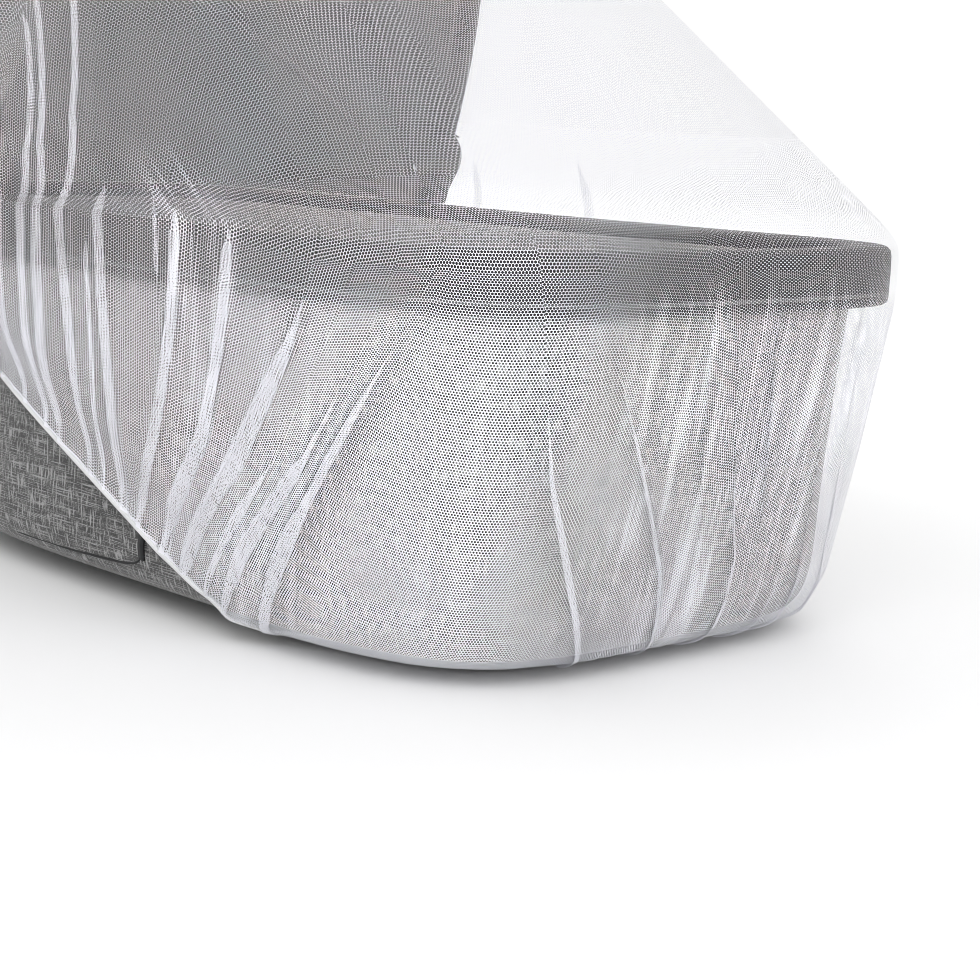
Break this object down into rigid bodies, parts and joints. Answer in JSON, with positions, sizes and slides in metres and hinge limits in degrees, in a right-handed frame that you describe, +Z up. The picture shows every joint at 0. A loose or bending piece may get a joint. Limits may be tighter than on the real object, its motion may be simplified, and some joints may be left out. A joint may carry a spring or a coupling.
{
  "type": "stroller mosquito net on a hooded carrycot",
  "caption": "White mesh net with an elastic edge, draped over the raised hood and oval rim of a plain carrycot and tucked under its foot end, in soft uneven pleats.",
  "frame": {"origin": "middle of the carrycot's flat base, on the surface that it stands on", "axes": "+X along the carrycot to its foot end, where the net is tucked under; +Z up; -Y is the near side in the picture"},
  "size_m": [0.8081, 0.452, 0.6003],
  "materials": {
    "net": "fine white knitted tulle with round holes about 2 mm apart",
    "grey_cloth": "heather grey woven cloth, matt",
    "dark_trim": "dark satin-coated trim with thin light piping",
    "hood_cloth": "dark grey woven cloth, matt",
    "hood_frame": "black moulded plastic, satin",
    "base": "dark moulded plastic, finely grained"
  },
  "bodies": {
    "root": {"cot_base": "base", "cot_tub": "grey_cloth", "cot_rim": "dark_trim", "hood_shell": "hood_cloth", "hood_bow": "hood_frame", "hood_rib_middle": "hood_frame", "hood_rib_rear": "hood_frame", "hood_hinge_near": "hood_frame", "hood_hinge_far": "hood_frame", "net_panel": "net", "net_elastic": "net"}
  },
  "joints": []
}
